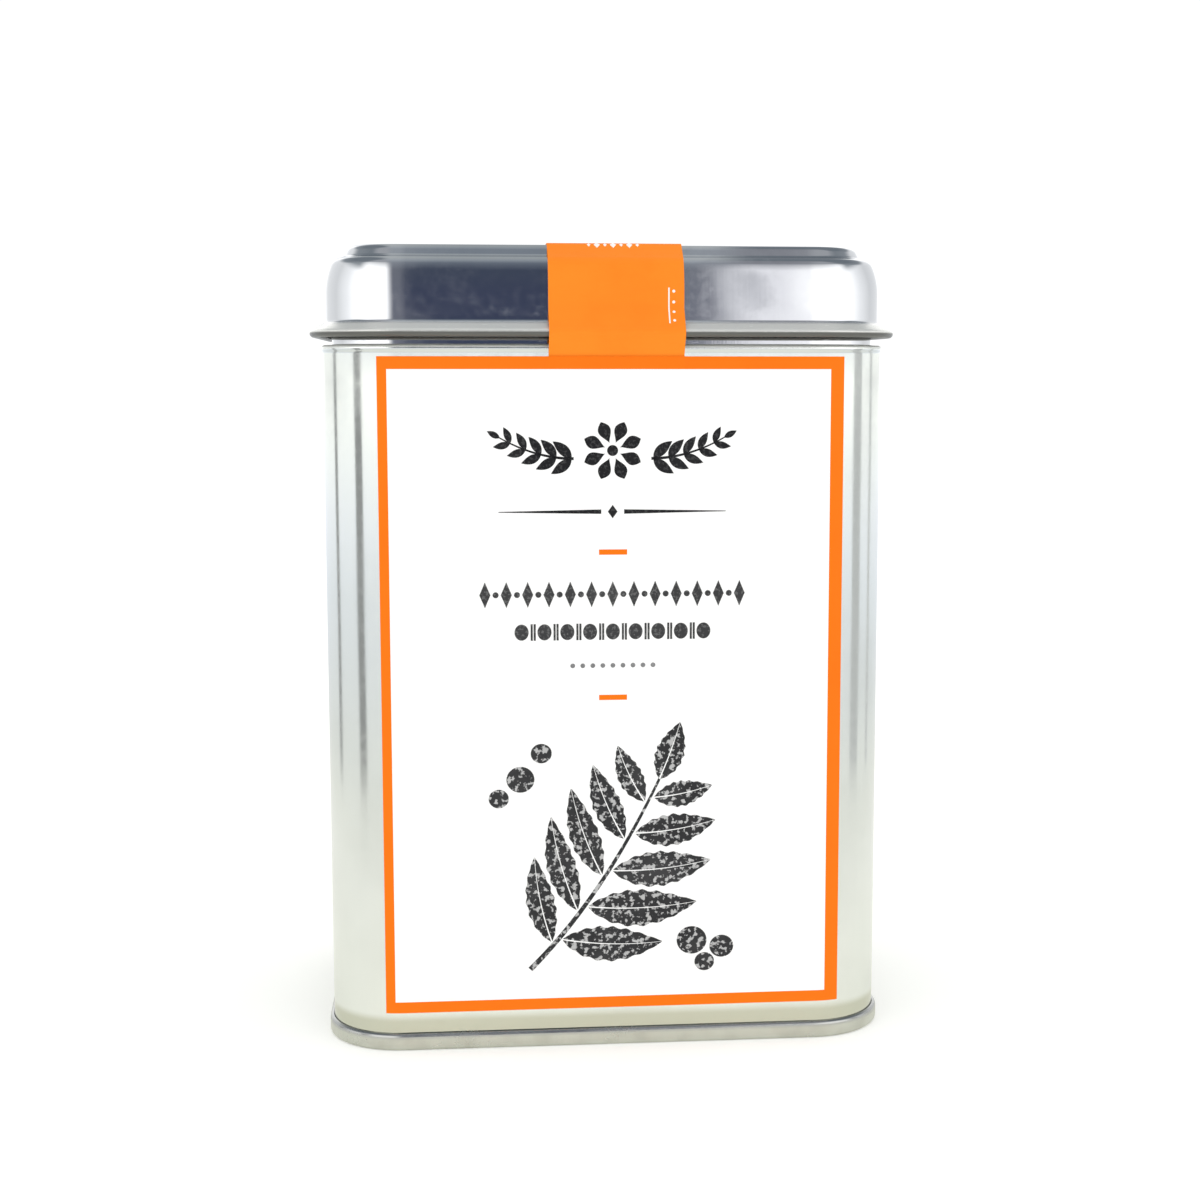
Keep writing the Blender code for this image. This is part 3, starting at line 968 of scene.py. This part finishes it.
@dataclass
class SealPaper:
    """The orange strip from the lid's top, over the rim, to its tail under the label."""

    lid: LidShell
    width: float = 0.0153
    shift: float = 0.00075
    paper: float = 0.00015
    gap: float = 0.00006
    tail_proud: float = 0.00002
    tail_end: float = 0.0774
    top_length: float = 0.0210
    leaves_wall: float = 0.0851
    meets_body: float = 0.0800
    crease: float = 0.000012

    def under(self) -> np.ndarray:
        """The strip's under side in section, from the lid's top to its tail.

        Returns:
            Points of (proud, height).
        """
        gap = self.gap
        lid = self.lid
        plateau_centre, shoulder_centre, lean_centre = lid.centres()
        flat = np.linspace(plateau_centre[0] - self.top_length, plateau_centre[0], 15)[:-1]
        return np.concatenate((
            np.stack((flat, np.full_like(flat, lid.top + gap)), -1),
            arc(plateau_centre, lid.plateau_radius + gap, 90, 45, 8),
            arc(shoulder_centre, lid.shoulder_radius + gap, 62, lid.lean_deg, 8),
            arc(lean_centre, lid.lean_radius + gap, lid.lean_deg, 0, 10)[1:],
            ((gap - lid.wall_inset, self.leaves_wall),),
            arc((lid.bead_proud, lid.bead_height), lid.bead_radius + gap, 36, -36, 12),
            np.linspace((self.tail_proud, self.meets_body), (self.tail_proud, self.tail_end), 5),
        ))

    def lay(self, shape: np.ndarray, lift: float) -> np.ndarray:
        """Lay a shape in millimetres over the strip's front, its -z being distance along the fold.

        Args:
            shape: A grid of (x, z) points.
            lift: Distance out of the paper.

        Returns:
            Positions in space.
        """
        over = offset_line(self.under(), -self.paper)
        along = np.concatenate(((0.0,), np.cumsum(np.linalg.norm(np.diff(over, axis=0), axis=1))))
        line = offset_line(over, -lift)
        proud, height = (np.interp(-shape[..., 1] * MM, along, line[:, axis]) for axis in (0, 1))
        return np.stack((shape[..., 0] * MM, -PLAN.depth / 2.0 - proud, height), -1)

    def build(self) -> bpy.types.Object:
        """Carry the folded line across the strip's width, with faint creases along the fold.

        Returns:
            The finished strip.
        """
        across = np.linspace(-self.width / 2.0, self.width / 2.0, 40) + self.shift

        def grid(line: np.ndarray) -> np.ndarray:
            """Carry a line across the width, lowest row first.

            Args:
                line: Points of (proud, height) along the fold.

            Returns:
                A grid of positions.
            """
            x, proud = np.meshgrid(across, line[::-1, 0])
            height = np.broadcast_to(line[::-1, 1:], x.shape)
            wave = self.crease * np.sin(x * 900.0 + height * 400.0) * smoothstep(height, 0.0802, 0.0815)
            return np.stack((x, -PLAN.depth / 2.0 - proud - wave, height), -1)

        under = self.under()
        piece = make_sheet("seal_paper", grid(offset_line(under, -self.paper)), grid(under))
        piece.data.materials.append(SEAL_ORANGE.material())
        return settle(piece, "seal_strip")


# Print


def stroke(path: np.ndarray, width: np.ndarray, columns: int = 5) -> np.ndarray:
    """Spread a path sideways: point = path + s * width / 2 * left normal, s from -1 to 1.

    Args:
        path: Points of the middle line, in millimetres.
        width: Full width at each point, in millimetres.
        columns: Points across.

    Returns:
        A grid of (x, z) points whose cells run counter-clockwise as seen from the front.
    """
    tangent = np.gradient(path, axis=0)
    tangent /= np.linalg.norm(tangent, axis=1, keepdims=True)
    left = np.stack((-tangent[:, 1], tangent[:, 0]), -1)
    s = np.linspace(1.0, -1.0, columns)[None, :, None]
    half = (np.maximum(width, 0.03) / 2.0)[:, None, None]
    return path[:, None] + s * half * left[:, None]


def bent_path(start: Pair, angle: float, length: float, bend: float,
              t: np.ndarray) -> tuple[np.ndarray, np.ndarray]:
    """A line in even steps that turns evenly: heading = angle + bend * t, in degrees.

    Args:
        start: Its first point in millimetres.
        angle: Its first direction, 0 to the right and 90 up.
        length: Its length in millimetres.
        bend: How many degrees it turns.
        t: Even places from 0 to 1.

    Returns:
        The points, and the headings in radians.
    """
    heading = np.radians(angle + bend * t)
    step = np.stack((np.cos(heading), np.sin(heading)), -1) * length / (len(t) - 1)
    return np.array(start) + np.concatenate((np.zeros((1, 2)), np.cumsum(step[:-1], 0))), heading


def leaf(start: Pair, angle: float, length: float, width: float, bend: float = 0.0,
         full: float = 0.45) -> np.ndarray:
    """A pointed leaf about a bent path: width * sin(pi * t^k)^0.9, with k so that it is widest at full.

    Args:
        start: Where the leaf joins its stem, in millimetres.
        angle: Direction in degrees.
        length: Length in millimetres.
        width: Largest width.
        bend: How many degrees the middle line turns.
        full: Where along it the leaf is widest, 0 to 1.

    Returns:
        A grid of (x, z) points.
    """
    t = np.linspace(0.0, 1.0, 19)
    warped = t ** (math.log(0.5) / math.log(full))
    return stroke(bent_path(start, angle, length, bend, t)[0], width * np.sin(math.pi * warped) ** 0.9)


def half_leaf(start: Pair, angle: float, length: float, width: float, bend: float, side: int,
              rib: float = 0.16) -> np.ndarray:
    """One half of a leaf, from a bare rib out to width / 2 * sine, less a small cosine scallop.

    Args:
        start: Where the leaf joins its stem, in millimetres.
        angle: Direction in degrees.
        length: Length in millimetres.
        width: The whole leaf's largest width.
        bend: How many degrees the rib turns.
        side: 1 for the left half and -1 for the right.
        rib: Width of the bare rib.

    Returns:
        A grid of (x, z) points.
    """
    t = np.linspace(0.0, 1.0, 37)
    path, heading = bent_path(start, angle, length, bend, t)
    left = np.stack((-np.sin(heading), np.cos(heading)), -1)
    edge = width / 2.0 * np.sin(math.pi * t**0.85) ** 0.85 * (1.0 - 0.07 * np.cos(t * 44.0))
    inner = rib / 2.0 * (1.0 - 0.7 * t)
    outer = np.maximum(edge, inner + 0.02)
    s = np.linspace(1.0, 0.0, 5)[::side]
    reach = inner[:, None] + (outer - inner)[:, None] * s[None]
    return path[:, None] + side * reach[..., None] * left[:, None]


def disc(centre: Pair, radius: float, stretch: float = 1.0, count: int = 9) -> np.ndarray:
    """A disc as a bent square: x = s * sqrt(1 - t^2 / 2), z = t * sqrt(1 - s^2 / 2).

    Args:
        centre: Its centre in millimetres.
        radius: Its radius across.
        stretch: Its height over its width.
        count: Points along each side.

    Returns:
        A grid of (x, z) points.
    """
    s, t = np.meshgrid(np.linspace(-1.0, 1.0, count), np.linspace(-1.0, 1.0, count))
    x = s * np.sqrt(1.0 - t * t / 2.0)
    z = t * np.sqrt(1.0 - s * s / 2.0)
    return np.stack((centre[0] + radius * x, centre[1] + radius * stretch * z), -1)


def bar(centre: Pair, width: float, height: float) -> np.ndarray:
    """A plain bar between its four corners."""
    x, z = np.meshgrid(np.linspace(-0.5, 0.5, 9) * width, np.linspace(-0.5, 0.5, 3) * height)
    return np.stack((centre[0] + x, centre[1] + z), -1)


def lozenge(centre: Pair, width: float, height: float) -> np.ndarray:
    """A lozenge: an upright stroke whose width falls evenly from its middle to both ends.

    Args:
        centre: Its centre in millimetres.
        width: Its width in the middle.
        height: Its height.

    Returns:
        A grid of (x, z) points.
    """
    t = np.linspace(-1.0, 1.0, 9)
    path = np.stack((np.full_like(t, centre[0]), centre[1] + t * height / 2.0), -1)
    return stroke(path, width * (1.0 - np.abs(t)))


def turned(centre: Pair, radius: float, degrees: float) -> np.ndarray:
    """The point at a distance and a direction from a centre."""
    angle = math.radians(degrees)
    return np.array(centre) + radius * np.array((math.cos(angle), math.sin(angle)))


@dataclass
class Print:
    """One colour of print: closed ink films that follow the paper they are laid on."""

    name: str
    finish: Paper
    slot: Slot
    lay: Callable[[np.ndarray, float], np.ndarray]
    film: float = 0.000012
    sink: float = 0.000010
    shapes: list[np.ndarray] = field(default_factory=list)

    def add(self, *shapes: np.ndarray) -> None:
        """Add grids of (x, z) points in millimetres."""
        self.shapes.extend(shapes)

    def build(self) -> bpy.types.Object:
        """Lay every shape on the paper as a thin closed film.

        Returns:
            The finished print.
        """
        points = []
        quads = []
        start = 0
        for shape in self.shapes:
            points.extend(self.lay(shape, lift).reshape(-1, 3) for lift in (self.film, -self.sink))
            quads.append(sheet_quads(*shape.shape[:2]) + start)
            start += shape.size
        piece = make_piece(self.name, np.concatenate(points), np.concatenate(quads))
        piece.data.materials.append(self.finish.material())
        return settle(piece)


@dataclass
class LabelPrint:
    """Everything printed inside the label's border, in millimetres."""

    label: FrontLabel
    middle: float = 0.25
    rosette_height: float = 69.2
    rule_height: float = 62.3
    dashes: tuple[Pair, ...] = ((0.29, 57.7), (0.26, 41.0))
    first_band: float = 52.9
    second_band: float = 48.6
    dot_row: float = 44.7
    branch_start: float = 4.4
    branch_length: float = 8.4
    branch_rise: float = 2.4
    stem: tuple[Pair, ...] = ((-9.4, 9.2), (-1.0, 17.5), (5.6, 31.4))
    leaves: tuple[tuple[float, int, float, float], ...] = (
        (0.16, 1, 10.2, 3.2), (0.20, -1, 11.6, 4.0), (0.35, 1, 11.4, 3.3), (0.39, -1, 12.6, 4.2),
        (0.54, 1, 10.8, 3.3), (0.58, -1, 11.4, 4.0), (0.72, 1, 9.4, 3.2), (0.76, -1, 9.4, 3.6),
        (0.89, 1, 7.2, 2.8), (0.92, -1, 6.8, 2.9))
    seeds: tuple[Triple, ...] = (
        (9.4, 12.2, 1.75), (12.9, 11.4, 1.4), (10.9, 9.6, 1.15), (-10.4, 31.6, 1.6),
        (-12.9, 29.4, 1.15), (-8.0, 34.6, 1.2))

    def ink(self, name: str, finish: Paper) -> Print:
        """Start one colour of print on the label."""
        return Print(name, finish, Slot.LABEL, self.label.lay)

    def branch(self, t: np.ndarray | float, side: int) -> np.ndarray:
        """Point of a garland's branch: it runs out evenly and rises with t^2."""
        x = self.middle + side * (self.branch_start + self.branch_length * t)
        return np.stack((x, self.rosette_height - 0.9 + self.branch_rise * t * t), -1)

    def garland(self) -> Print:
        """A black rosette between two leafy branches, over a tapering rule.

        Returns:
            The print.
        """
        ink = self.ink("label_garland", BLACK_INK)
        middle = (self.middle, self.rosette_height)
        for turn in range(8):
            angle = 45.0 * turn + 22.5
            ink.add(leaf(turned(middle, 0.95, angle), angle, 2.5, 1.45, 0.0, 0.6))
        ink.add(disc(middle, 0.62))
        t = np.linspace(0.0, 1.0, 33)
        for side in (-1, 1):
            ink.add(stroke(self.branch(t, side)[::side], 0.34 * (1.0 - 0.6 * t[::side])))
            for number in range(5):
                place = 0.03 + 0.205 * number
                slope = math.degrees(math.atan2(2.0 * self.branch_rise * place, self.branch_length))
                size = 1.0 - 0.38 * place
                for open_deg, bend in ((50.0, -18.0), (-46.0, 18.0)):
                    angle = slope + open_deg if side > 0 else 180.0 - slope - open_deg
                    ink.add(leaf(self.branch(place, side), angle, 2.9 * size, 1.2 * size, side * bend))
            end = (self.middle + side * 12.7, self.rosette_height + 1.45)
            ink.add(leaf(end, 90.0 - side * 62.0, 1.6, 0.7))
            x = self.middle + side * (1.3 + 11.6 * t)
            rule = np.stack((x, np.full_like(t, self.rule_height)), -1)
            ink.add(stroke(rule[::side], (0.42 * (1.0 - t) + 0.08)[::side], 3))
        ink.add(lozenge((self.middle, self.rule_height), 1.1, 1.5))
        return ink

    def bands(self) -> Print:
        """Two dark-grey rows: lozenges with beads between them, and beads with short bars.

        Returns:
            The print.
        """
        ink = self.ink("label_bands", GREY_INK)
        for number in range(-6, 7):
            x = self.middle + 2.42 * number
            ink.add(lozenge((x, self.first_band), 1.25, 2.9))
            if number < 6:
                ink.add(disc((x + 1.21, self.first_band), 0.34, 1.0, 7))
        for number in range(-4, 5):
            x = self.middle + 2.6 * number
            ink.add(disc((x, self.second_band), 0.80, 1.15))
            if number < 4:
                ink.add(*(bar((x + away, self.second_band), 0.24, 1.9) for away in (1.15, 1.49)))
        return ink

    def dots(self) -> Print:
        """A short row of pale-grey dots.

        Returns:
            The print.
        """
        ink = self.ink("label_dots", PALE_INK)
        places = (self.middle + 1.15 * number for number in range(-4, 5))
        ink.add(*(disc((x, self.dot_row), 0.27, 1.0, 7) for x in places))
        return ink

    def orange_dashes(self) -> Print:
        """The two short orange dashes above and below the bands.

        Returns:
            The print.
        """
        ink = self.ink("label_dashes", LABEL_ORANGE)
        ink.add(*(bar(centre, 3.2, 0.6) for centre in self.dashes))
        return ink

    def sprig(self) -> Print:
        """An engraved-looking leafy sprig with a few round seeds beside it.

        The stem is a quadratic curve through three points; leaves stand on it by turns.

        Returns:
            The print.
        """
        ink = self.ink("label_sprig", ENGRAVED_INK)
        low, bend, high = (np.array(point) for point in self.stem)

        def stem(t: np.ndarray | float) -> np.ndarray:
            """Point on the stem at t."""
            t = np.asarray(t, float)[..., None]
            return (1 - t) ** 2 * low + 2 * t * (1 - t) * bend + t * t * high

        t = np.linspace(0.0, 1.0, 41)
        ink.add(stroke(stem(t), 0.62 - 0.32 * t))
        for place, side, length, width in self.leaves:
            ahead = stem(place + 0.01) - stem(place)
            angle = math.degrees(math.atan2(ahead[1], ahead[0])) + side * 60.0
            start = turned(stem(place), 0.5, angle)
            ink.add(*(half_leaf(start, angle, length, width, -side * 16.0, half) for half in (1, -1)))
        ink.add(*(half_leaf(high, 66.0, 7.0, 3.2, 8.0, half) for half in (1, -1)))
        ink.add(*(disc((x, z), radius, 0.94, 11) for x, z, radius in self.seeds))
        return ink

    def build(self) -> None:
        """Make every colour of print."""
        for ink in (self.garland(), self.bands(), self.dots(), self.orange_dashes(), self.sprig()):
            ink.build()


@dataclass
class SealPrint:
    """Small white ornament on the strip: a row of lozenges near its fold and one thin upright rule."""

    seal: SealPaper
    film: float = 0.000014
    spacing: float = 0.92
    rule_length: float = 4.4

    def build(self) -> bpy.types.Object:
        """Lay small films along the strip's folded line, by distance along it.

        Returns:
            The finished print.
        """
        seal = self.seal
        ink = Print("seal_ornament", WHITE_INK, Slot.SEAL, seal.lay, self.film, self.film)
        fold = seal.top_length / MM
        right = (seal.shift + seal.width / 2.0) / MM
        for number in range(-3, 4):
            size = 1.0 if number % 2 == 0 else 0.6
            ink.add(lozenge((0.6 + self.spacing * number, -(fold + 0.75)), 0.72 * size, 1.15 * size))
        low = -(fold + 11.2)
        rule = np.stack((np.full(12, right - 1.75), np.linspace(low, low + self.rule_length, 12)), -1)
        ink.add(stroke(rule, np.full(12, 0.16), 3))
        ink.add(*(disc((right - 1.2, low + 0.4 + 1.2 * number), 0.17, 1.0, 5) for number in range(4)))
        return ink.build()


# Studio

WHITE = (1.0, 1.0, 1.0)
# Painted shade of the floor as the metal sees it, by distance from the tin.
FLOOR_SHADE_IN_MIRROR = (
    (0.15, (0.90, 0.90, 0.86)), (0.26, (0.85, 0.85, 0.825)), (0.35, (0.82, 0.82, 0.81)),
    (0.44, (0.75, 0.755, 0.745)), (0.53, (0.70, 0.715, 0.735)), (0.62, (0.695, 0.715, 0.77)),
    (0.72, (0.725, 0.755, 0.83)), (0.81, (0.83, 0.85, 0.94)), (0.91, (0.95, 0.97, 1.0)), (1.0, WHITE))
DARK_GAP = (
    (0.0, (0.036, 0.044, 0.078)), (0.20, (0.040, 0.050, 0.078)), (0.29, (0.13, 0.15, 0.18)),
    (0.43, (0.21, 0.235, 0.26)), (0.60, (0.26, 0.28, 0.29)), (0.80, (0.24, 0.26, 0.27)),
    (0.90, (0.40, 0.43, 0.47)), (0.97, (0.50, 0.52, 0.54)))
WALL_TO_CEILING = ((0.0, WHITE), (0.41, WHITE), (0.56, (0.27, 0.28, 0.30)), (1.0, (0.24, 0.25, 0.27)))
FRONT_TO_BACK = (
    (0.0, WHITE), (0.36, WHITE), (0.47, (0.74, 0.75, 0.76)), (0.62, (0.54, 0.55, 0.56)),
    (0.80, (0.62, 0.63, 0.64)), (0.95, WHITE))


@dataclass
class Studio:
    """Pale floor, soft white surroundings with a dark gap between them, cards and the camera."""

    brightness: float = 1.5
    plain_brightness: float = 1.05
    floor_half: float = 9.0
    floor_glow: float = 0.22
    floor_shade_falloff: float = 0.2
    card_distance: float = 0.185
    card_height: float = 0.081
    cards: tuple[tuple[str, float, float, float], ...] = (
        ("card_left_wide", -61.0, 0.034, 0.30), ("card_left_thin", -102.0, 0.022, 0.34),
        ("card_right_wide", 73.0, 0.046, 0.55), ("card_right_thin", 101.0, 0.020, 0.62))

    def floor(self) -> None:
        """Lay a large pale floor under the tin; the tin's metal sees it with painted shade, slightly
        dark and warm near the tin, darker and bluer further out, and white far away.
        """
        corner = self.floor_half
        x, y = np.meshgrid((-corner, corner), (-corner, corner))
        points = np.stack((x, y, np.full_like(x, -0.00001)), -1).reshape(-1, 3)
        floor = make_piece("studio_floor", points, grid_quads(2, 2))
        n = NodeTree.paint("studio_floor_paint")
        place = n.add("TexCoord").outputs["Object"]
        tone = n.mix(n.noise(place, 3.0), (0.90, 0.905, 0.885), (0.895, 0.90, 0.875))
        away = n.add("VectorMath", {0: place}, operation="LENGTH").outputs["Value"]
        # Painted shade, for glossy rays only: the floor's colour and glow are darkened by distance from
        # the tin.
        painted_floor_shade = n.ramp(n.math("DIVIDE", away, n.plus(away, self.floor_shade_falloff)), FLOOR_SHADE_IN_MIRROR)
        in_mirror = n.add("LightPath").outputs["Is Glossy Ray"]
        floor.data.materials.append(n.surface("BsdfPrincipled", {
            "Base Color": n.mix(in_mirror, tone, painted_floor_shade, "MULTIPLY"),
            "Emission Color": n.mix(in_mirror, (1.0, 1.0, 0.97), painted_floor_shade, "MULTIPLY"),
            "Emission Strength": self.floor_glow, "Roughness": 0.9, "Specular IOR Level": 0.0}))

    def card(self, name: str, azimuth: float, width: float, tone: float) -> None:
        """Stand a dark card on the floor, seen in the tin's wall but not by the camera.

        Args:
            name: The card's name.
            azimuth: Direction from the tin in degrees, 0 in front and 90 to the right.
            width: The card's width.
            tone: Its grey.
        """
        turn = math.radians(azimuth)
        away = np.array((math.sin(turn), -math.cos(turn)))
        across = np.array((math.cos(turn), math.sin(turn)))
        s, t = np.meshgrid((0.5, -0.5), (0.0, 1.0))
        flat = away * self.card_distance + s[..., None] * width * across
        points = np.concatenate((flat, (t * self.card_height)[..., None]), -1).reshape(-1, 3)
        card = make_piece(name, points, grid_quads(2, 2))
        paint = {"Color": (tone, tone * 1.02, tone * 1.05, 1.0), "Strength": 1.0}
        card.data.materials.append(NodeTree.paint(name + "_paint").surface("Emission", paint))
        card.visible_camera = False
        card.visible_diffuse = False
        card.visible_shadow = False

    def surroundings(self) -> None:
        """Light the tin from all round, as two white walls with a dark gap over the middle.

        The gap is read from the direction's x, and is a little lighter near its sides.  Along
        it, brightness follows the angle from the front horizon over the top to the back one.
        The walls darken towards the ceiling, towards the back and, high up, at the sides, and
        the right one is dimmer beside the gap.
        """
        world = bpy.data.worlds.new("soft_studio")
        bpy.context.scene.world = world
        n = NodeTree(world)
        parts = n.add("SeparateXYZ", {"Vector": n.add("TexCoord").outputs["Generated"]})
        x, y, z = (parts.outputs[axis] for axis in "XYZ")
        forward = n.times(y, -1.0)
        over = n.math("DIVIDE", n.math("ARCTAN2", z, forward), math.pi)
        around = n.math("DIVIDE", n.math("ABSOLUTE", n.math("ARCTAN2", x, forward)), math.pi)
        elevation = n.math("ARCSINE", z)
        gap = n.times(n.step(x, -0.265, -0.070), n.step(x, 0.1525, 0.1245))
        lighter = n.plus(n.step(x, 0.095, 0.118), n.step(x, -0.006, -0.042, 0.0, 0.9))
        inside = n.mix(n.times(lighter, 0.10), n.ramp(over, DARK_GAP), WHITE)
        outside = n.ramp(n.math("DIVIDE", elevation, math.pi / 2.0), WALL_TO_CEILING)
        outside = n.mix(1.0, outside, n.ramp(around, FRONT_TO_BACK), "MULTIPLY")
        beside_gap = n.times(n.step(x, 0.10, 0.12), n.step(x, 0.205, 0.160))
        outside = n.mix(beside_gap, outside, (0.67, 0.67, 0.70), "MULTIPLY")
        high = n.times(n.step(elevation, 0.47, 0.66), n.step(around, 0.28, 0.42))
        outside = n.mix(n.times(high, 0.85), outside, (0.12, 0.14, 0.16))
        lit = n.add("Background", {"Color": n.mix(gap, outside, inside), "Strength": self.brightness})
        plain = n.add("Background", {"Color": (*WHITE, 1.0), "Strength": self.plain_brightness})
        path = n.add("LightPath")
        soft = n.math("MAXIMUM", path.outputs["Is Camera Ray"], path.outputs["Is Diffuse Ray"])
        both = n.add("MixShader", {0: soft, 1: lit.outputs[0], 2: plain.outputs[0]})
        n.add("OutputWorld", {"Surface": both.outputs[0]})

    def camera(self) -> None:
        """Stand the camera where the photograph was taken from."""
        data = bpy.data.cameras.new("photo_camera")
        data.sensor_width = 36.0
        data.lens = 58.23
        data.shift_x = -40.0 / 1200.0
        data.clip_start = 0.01
        data.clip_end = 50.0
        camera = bpy.data.objects.new("photo_camera", data)
        camera.location = (-0.01725, -0.24149, 0.07781)
        camera.rotation_euler = (math.radians(90.0 - 6.65), 0.0, math.radians(-5.38))
        bpy.context.scene.collection.objects.link(camera)
        bpy.context.scene.camera = camera

    def build(self) -> None:
        """Set up floor, surroundings, reflected cards, camera and plain colours."""
        self.floor()
        self.surroundings()
        for card in self.cards:
            self.card(*card)
        self.camera()
        bpy.context.scene.view_settings.view_transform = "Standard"


def main() -> None:
    """Build the tin from the foot up, then its paper and print, then the studio."""
    logging.basicConfig(level=logging.INFO, format="%(name)s %(message)s")
    FootRing("foot_ring", "tin_base", Slot.FOOT, FOOT_FINISH).build()
    BodyShell("body_shell", "tin_body", Slot.BODY, BODY_FINISH).build()
    lid = LidShell("lid_shell", "lid", Slot.LID, LID_FINISH)
    lid.build()
    label = FrontLabel()
    label.build()
    seal = SealPaper(lid)
    seal.build()
    LabelPrint(label).build()
    SealPrint(seal).build()
    Studio().build()


if __name__ == "__main__":
    main()
